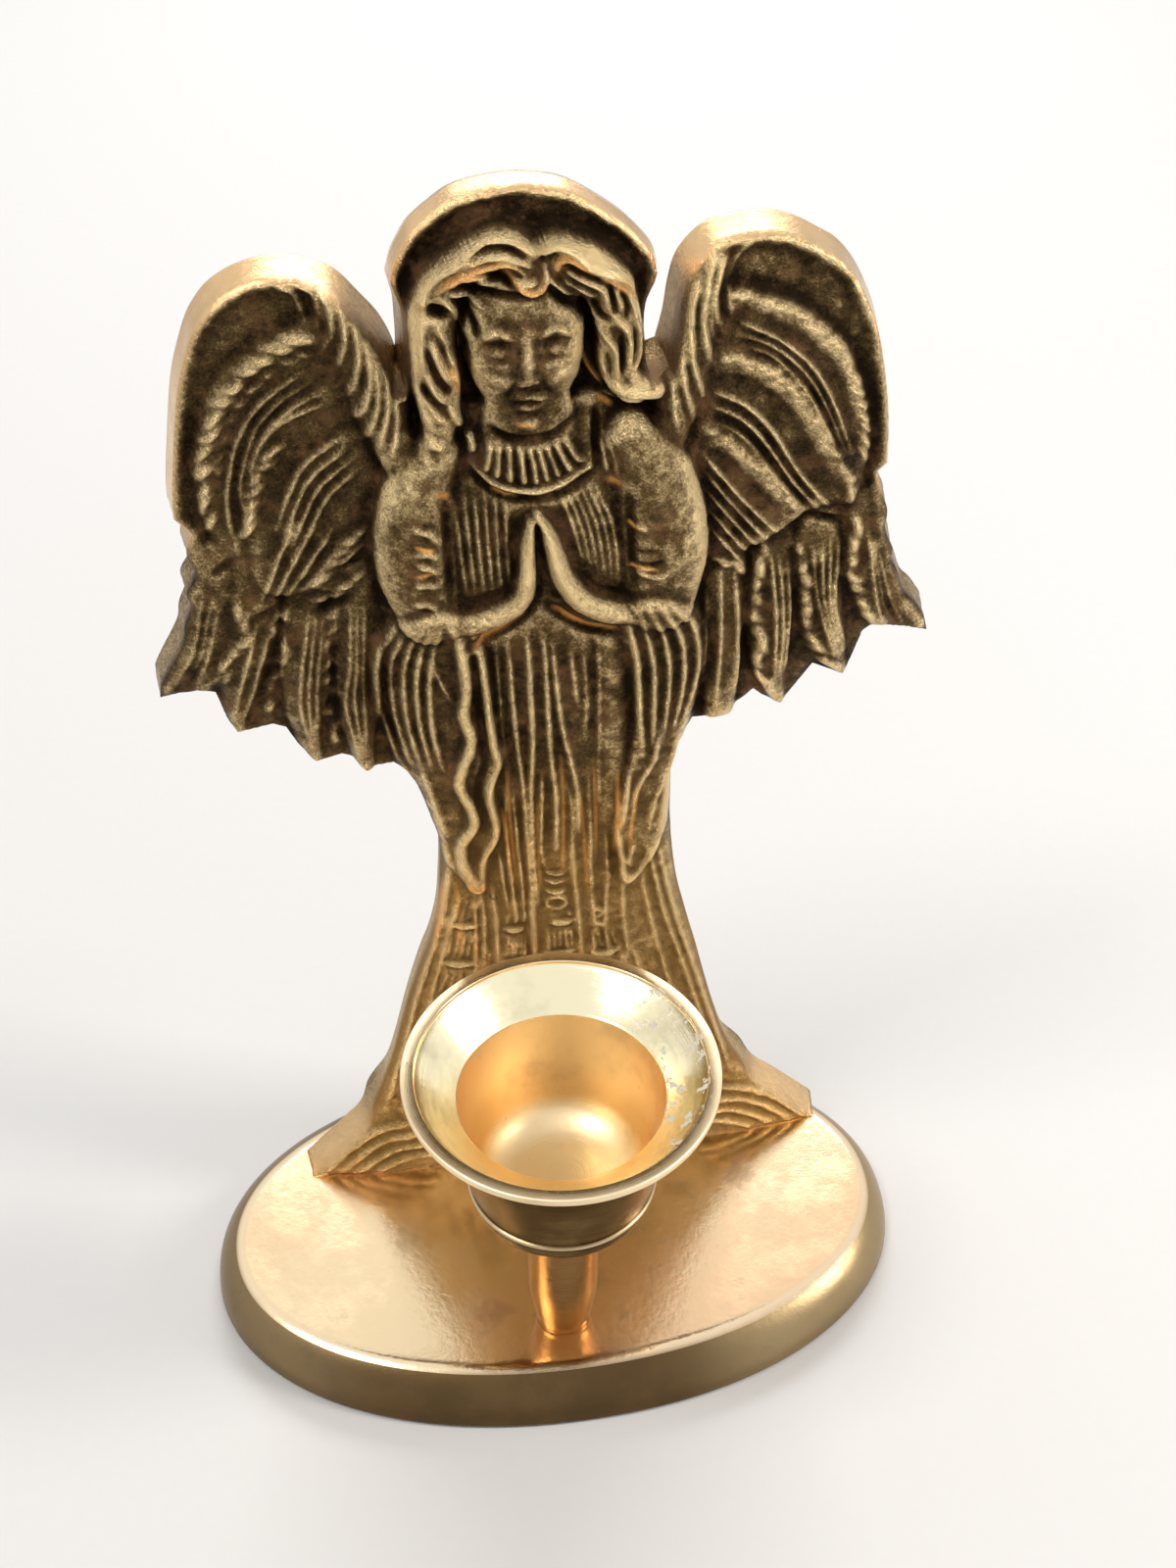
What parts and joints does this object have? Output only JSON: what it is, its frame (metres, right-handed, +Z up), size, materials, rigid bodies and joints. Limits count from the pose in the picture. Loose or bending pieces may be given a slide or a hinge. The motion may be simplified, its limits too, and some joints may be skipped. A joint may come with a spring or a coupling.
{
  "type": "angel taper candle holder",
  "caption": "Taper candle holder in cast brass: a praying angel with tall wings in relief stands on an oval base, behind a flared candle cup on a short turned stem.",
  "frame": {"origin": "middle of the footprint, on the table", "axes": "+Z up, -Y the front where the candle cup stands, +X the viewer's right"},
  "size_m": [0.0858, 0.0596, 0.1403],
  "materials": {
    "cast_brass": "aged cast brass, dark in the recesses and rubbed bright on the raised parts",
    "polished_brass": "polished brass with fine scratches",
    "turned_brass": "turned and polished brass with light tarnish",
    "screw_brass": "plain satin brass"
  },
  "bodies": {
    "root": {"base": "polished_brass", "angel_figure": "cast_brass", "cup_stem": "turned_brass", "candle_cup": "turned_brass", "cup_screw": "screw_brass", "cup_washer": "screw_brass", "figure_screw_left": "screw_brass", "figure_washer_left": "screw_brass", "figure_screw_right": "screw_brass", "figure_washer_right": "screw_brass"}
  },
  "joints": []
}
